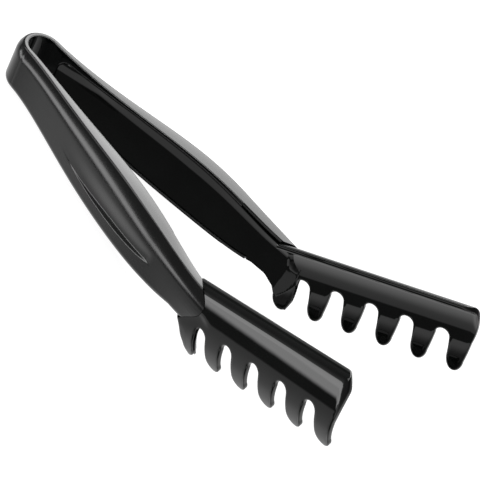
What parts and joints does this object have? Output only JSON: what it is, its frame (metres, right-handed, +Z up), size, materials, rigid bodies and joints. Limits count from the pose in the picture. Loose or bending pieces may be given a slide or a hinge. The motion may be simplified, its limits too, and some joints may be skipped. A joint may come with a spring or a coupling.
{
  "type": "pasta tongs",
  "caption": "Black moulded-plastic pasta tongs: sprung bend, soft-touch arms and two curved glossy comb jaws.",
  "frame": {"origin": "middle of the tongs' footprint, on the surface that the bend and the first teeth rest on", "axes": "+X from the bend towards the jaws, +Y from the near arm to the far arm, +Z up"},
  "size_m": [0.2932, 0.1164, 0.0917],
  "materials": {
    "soft_grip": "satin soft-touch",
    "core_gloss": "gloss",
    "jaw_gloss": "gloss"
  },
  "bodies": {
    "bend": {"bend_core": "core_gloss", "bend_grip": "soft_grip"},
    "near_arm": {"near_arm_core": "core_gloss", "near_grip": "soft_grip", "near_jaw": "jaw_gloss"},
    "far_arm": {"far_arm_core": "core_gloss", "far_grip": "soft_grip", "far_jaw": "jaw_gloss"}
  },
  "joints": [
    {"name": "near_arm_squeeze", "type": "hinge", "parent": "bend", "child": "near_arm", "pos_m": [-0.13229, -0.01123, 0.01472], "axis": [-0.0617, 0, 0.9981], "range_deg": [-3, 9.5], "stiffness_Nm_per_rad": 3},
    {"name": "far_arm_squeeze", "type": "hinge", "parent": "bend", "child": "far_arm", "pos_m": [-0.13229, 0.01123, 0.01472], "axis": [0.0617, 0, -0.9981], "range_deg": [-3, 9.5], "stiffness_Nm_per_rad": 3}
  ],
  "couplings": [
    {"joint": "far_arm_squeeze", "follows": "near_arm_squeeze", "ratio": 1}
  ]
}
